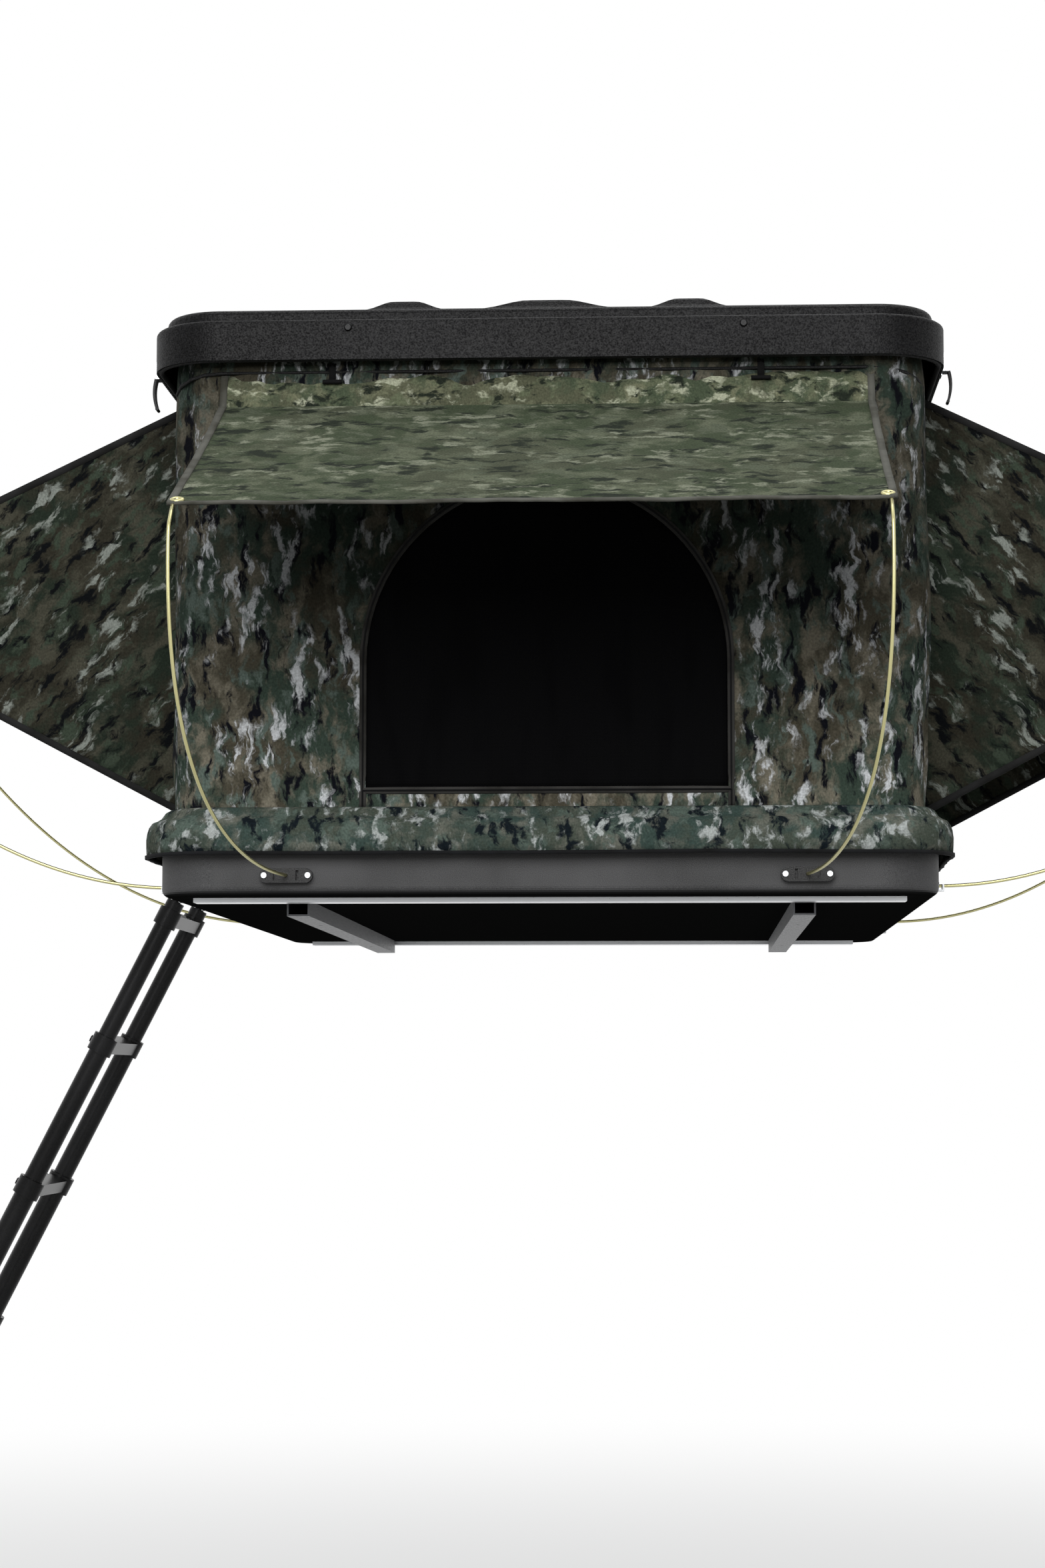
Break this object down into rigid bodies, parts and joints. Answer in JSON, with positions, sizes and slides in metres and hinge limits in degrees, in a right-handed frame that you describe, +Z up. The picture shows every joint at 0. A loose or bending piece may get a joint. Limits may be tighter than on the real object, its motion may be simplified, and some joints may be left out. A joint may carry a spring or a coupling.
{
  "type": "roof top tent",
  "caption": "Pop-up roof top tent with a hard shell on scissor lifts, camouflage cloth walls, awnings on sprung rods, a skirted base tray and a telescopic ladder.",
  "frame": {"origin": "centre of the roof bolt pattern, on the underside of the mounting rails", "axes": "+X across to the right as seen from the front, +Y towards the rear, +Z up"},
  "size_m": [3.1662, 3.3452, 2.9148],
  "materials": {
    "shell_plastic": "fine textured",
    "tray_plastic": "satin",
    "black_plastic": "satin",
    "floor_ply": "sealed",
    "mattress_cloth": "woven",
    "alloy": "mill finish",
    "steel": "zinc plated",
    "dark_steel": "powder coated",
    "camouflage_cloth": "printed canvas",
    "mesh": "open mesh",
    "zip_tape": "woven tape",
    "lining": "felt",
    "seal_rubber": "matte",
    "rod_brass": "satin",
    "ladder_black": "black anodised",
    "boot_rubber": "matte"
  },
  "bodies": {
    "base": {"base_tray": "tray_plastic", "floor_panel": "floor_ply", "mattress": "mattress_cloth", "mount_rails": "alloy", "cross_members": "alloy", "rod_sockets": "black_plastic", "socket_screws": "steel", "latch_keepers": "steel", "ladder_bracket": "steel", "ladder_bolts": "steel", "base_arm_brackets": "steel", "base_tracks": "alloy", "strut_brackets": "steel", "skirt": "camouflage_cloth", "tent_walls": "camouflage_cloth", "window_screens": "mesh", "window_zips": "zip_tape", "door_roll": "mesh", "tuck_cord": "seal_rubber"},
    "shell": {"top_shell": "shell_plastic", "headliner": "lining", "wall_frame": "alloy", "rim_seal": "seal_rubber", "shell_arm_brackets": "steel", "shell_tracks": "alloy", "shell_screws": "dark_steel", "latch_plates": "steel"},
    "base_arm_left": {"base_arm_left": "dark_steel"},
    "shell_arm_left": {"shell_arm_left": "dark_steel"},
    "strut_tube_left": {"strut_tube_left": "dark_steel"},
    "strut_rod_left": {"strut_rod_left": "steel"},
    "base_arm_right": {"base_arm_right": "dark_steel"},
    "shell_arm_right": {"shell_arm_right": "dark_steel"},
    "strut_tube_right": {"strut_tube_right": "dark_steel"},
    "strut_rod_right": {"strut_rod_right": "steel"},
    "latch_front_left": {"latch_front_left": "dark_steel"},
    "latch_front_right": {"latch_front_right": "dark_steel"},
    "latch_rear_left": {"latch_rear_left": "dark_steel"},
    "latch_rear_right": {"latch_rear_right": "dark_steel"},
    "awning_front": {"front_flap": "camouflage_cloth", "front_rods": "rod_brass", "flap_toggles": "seal_rubber"},
    "awning_rear": {"rear_flap": "camouflage_cloth", "rear_rods": "rod_brass"},
    "awning_left": {"left_flap": "camouflage_cloth", "left_gussets": "camouflage_cloth", "left_rods": "rod_brass"},
    "awning_right": {"right_flap": "camouflage_cloth", "right_gussets": "camouflage_cloth", "right_rods": "rod_brass"},
    "ladder_1": {"ladder_section_1": "ladder_black"},
    "ladder_2": {"ladder_section_2": "ladder_black"},
    "ladder_3": {"ladder_section_3": "ladder_black"},
    "ladder_4": {"ladder_section_4": "ladder_black"},
    "ladder_5": {"ladder_section_5": "ladder_black"},
    "ladder_6": {"ladder_section_6": "ladder_black"},
    "ladder_7": {"ladder_section_7": "ladder_black", "ladder_feet": "boot_rubber"}
  },
  "joints": [
    {"name": "shell_lift", "type": "slide", "parent": "base", "child": "shell", "axis": [0, 0, 1], "range_m": [-0.795, 0], "stiffness_N_per_m": 260, "springref_m": 2.6, "deforming": ["tent_walls", "window_screens", "window_zips", "tuck_cord", "front_flap", "front_rods", "flap_toggles", "rear_flap", "rear_rods", "left_flap", "left_gussets", "left_rods", "right_flap", "right_gussets", "right_rods"]},
    {"name": "base_arm_left_turn", "type": "hinge", "parent": "base", "child": "base_arm_left", "pos_m": [0, -0.8497, 0.138], "axis": [1, 0, 0], "range_deg": [-28.2, 0]},
    {"name": "shell_arm_left_turn", "type": "hinge", "parent": "shell", "child": "shell_arm_left", "pos_m": [0, -0.8497, 0.978], "axis": [1, 0, 0], "range_deg": [0, 28.2]},
    {"name": "strut_left_turn", "type": "hinge", "parent": "base", "child": "strut_tube_left", "pos_m": [0, -0.3997, 0.138], "axis": [1, 0, 0], "range_deg": [-52.35, 0]},
    {"name": "strut_left_stroke", "type": "slide", "parent": "strut_tube_left", "child": "strut_rod_left", "axis": [0, 0.5668, 0.8238], "range_m": [-0.10998, 0]},
    {"name": "base_arm_right_turn", "type": "hinge", "parent": "base", "child": "base_arm_right", "pos_m": [0, -0.8497, 0.138], "axis": [1, 0, 0], "range_deg": [-28.2, 0]},
    {"name": "shell_arm_right_turn", "type": "hinge", "parent": "shell", "child": "shell_arm_right", "pos_m": [0, -0.8497, 0.978], "axis": [1, 0, 0], "range_deg": [0, 28.2]},
    {"name": "strut_right_turn", "type": "hinge", "parent": "base", "child": "strut_tube_right", "pos_m": [0, -0.3997, 0.138], "axis": [1, 0, 0], "range_deg": [-52.35, 0]},
    {"name": "strut_right_stroke", "type": "slide", "parent": "strut_tube_right", "child": "strut_rod_right", "axis": [0, 0.5668, 0.8238], "range_m": [-0.10998, 0]},
    {"name": "latch_front_left_swing", "type": "hinge", "parent": "shell", "child": "latch_front_left", "pos_m": [-0.714, -0.85, 0.983], "axis": [0, 1, 0], "range_deg": [0, 105]},
    {"name": "latch_front_right_swing", "type": "hinge", "parent": "shell", "child": "latch_front_right", "pos_m": [0.714, -0.85, 0.983], "axis": [0, -1, 0], "range_deg": [0, 105]},
    {"name": "latch_rear_left_swing", "type": "hinge", "parent": "shell", "child": "latch_rear_left", "pos_m": [-0.714, 0.85, 0.983], "axis": [0, 1, 0], "range_deg": [0, 105]},
    {"name": "latch_rear_right_swing", "type": "hinge", "parent": "shell", "child": "latch_rear_right", "pos_m": [0.714, 0.85, 0.983], "axis": [0, -1, 0], "range_deg": [0, 105]},
    {"name": "awning_front_fold", "type": "hinge", "parent": "shell", "child": "awning_front", "pos_m": [0, -1.0283, 0.941], "axis": [1, 0, 0], "range_deg": [0, 61.29]},
    {"name": "awning_rear_fold", "type": "hinge", "parent": "shell", "child": "awning_rear", "pos_m": [0, 1.0283, 0.941], "axis": [1, 0, 0], "range_deg": [-61.29, 0]},
    {"name": "awning_left_fold", "type": "hinge", "parent": "shell", "child": "awning_left", "pos_m": [-0.6593, 0, 0.955], "axis": [0, 1, 0], "range_deg": [-64.53, 0]},
    {"name": "awning_right_fold", "type": "hinge", "parent": "shell", "child": "awning_right", "pos_m": [0.6593, 0, 0.955], "axis": [0, 1, 0], "range_deg": [0, 64.53]},
    {"name": "ladder_swing", "type": "hinge", "parent": "base", "child": "ladder_1", "pos_m": [-0.713, -0.392, 0.058], "axis": [0, 1, 0], "range_deg": [0, 60]},
    {"name": "ladder_slide_2", "type": "slide", "parent": "ladder_1", "child": "ladder_2", "axis": [0.454, 0, 0.891], "range_m": [0, 0.225]},
    {"name": "ladder_slide_3", "type": "slide", "parent": "ladder_2", "child": "ladder_3", "axis": [0.454, 0, 0.891], "range_m": [0, 0.225]},
    {"name": "ladder_slide_4", "type": "slide", "parent": "ladder_3", "child": "ladder_4", "axis": [0.454, 0, 0.891], "range_m": [0, 0.225]},
    {"name": "ladder_slide_5", "type": "slide", "parent": "ladder_4", "child": "ladder_5", "axis": [0.454, 0, 0.891], "range_m": [0, 0.225]},
    {"name": "ladder_slide_6", "type": "slide", "parent": "ladder_5", "child": "ladder_6", "axis": [0.454, 0, 0.891], "range_m": [0, 0.225]},
    {"name": "ladder_slide_7", "type": "slide", "parent": "ladder_6", "child": "ladder_7", "axis": [0.454, 0, 0.891], "range_m": [0, 0.225]}
  ],
  "couplings": [
    {"joint": "base_arm_left_turn", "follows": "shell_lift", "rad_per_m": 0.61679},
    {"joint": "shell_arm_left_turn", "follows": "shell_lift", "rad_per_m": -0.61679},
    {"joint": "strut_left_turn", "follows": "shell_lift", "rad_per_m": 1.147},
    {"joint": "strut_left_stroke", "follows": "shell_lift", "ratio": 0.13771},
    {"joint": "base_arm_right_turn", "follows": "shell_lift", "rad_per_m": 0.61679},
    {"joint": "shell_arm_right_turn", "follows": "shell_lift", "rad_per_m": -0.61679},
    {"joint": "strut_right_turn", "follows": "shell_lift", "rad_per_m": 1.147},
    {"joint": "strut_right_stroke", "follows": "shell_lift", "ratio": 0.13771},
    {"joint": "awning_front_fold", "follows": "shell_lift", "rad_per_m": -1.3433},
    {"joint": "awning_rear_fold", "follows": "shell_lift", "rad_per_m": 1.3433},
    {"joint": "awning_left_fold", "follows": "shell_lift", "rad_per_m": 1.4146},
    {"joint": "awning_right_fold", "follows": "shell_lift", "rad_per_m": -1.4146},
    {"joint": "ladder_slide_3", "follows": "ladder_slide_2", "ratio": 1},
    {"joint": "ladder_slide_4", "follows": "ladder_slide_2", "ratio": 1},
    {"joint": "ladder_slide_5", "follows": "ladder_slide_2", "ratio": 1},
    {"joint": "ladder_slide_6", "follows": "ladder_slide_2", "ratio": 1},
    {"joint": "ladder_slide_7", "follows": "ladder_slide_2", "ratio": 1}
  ]
}
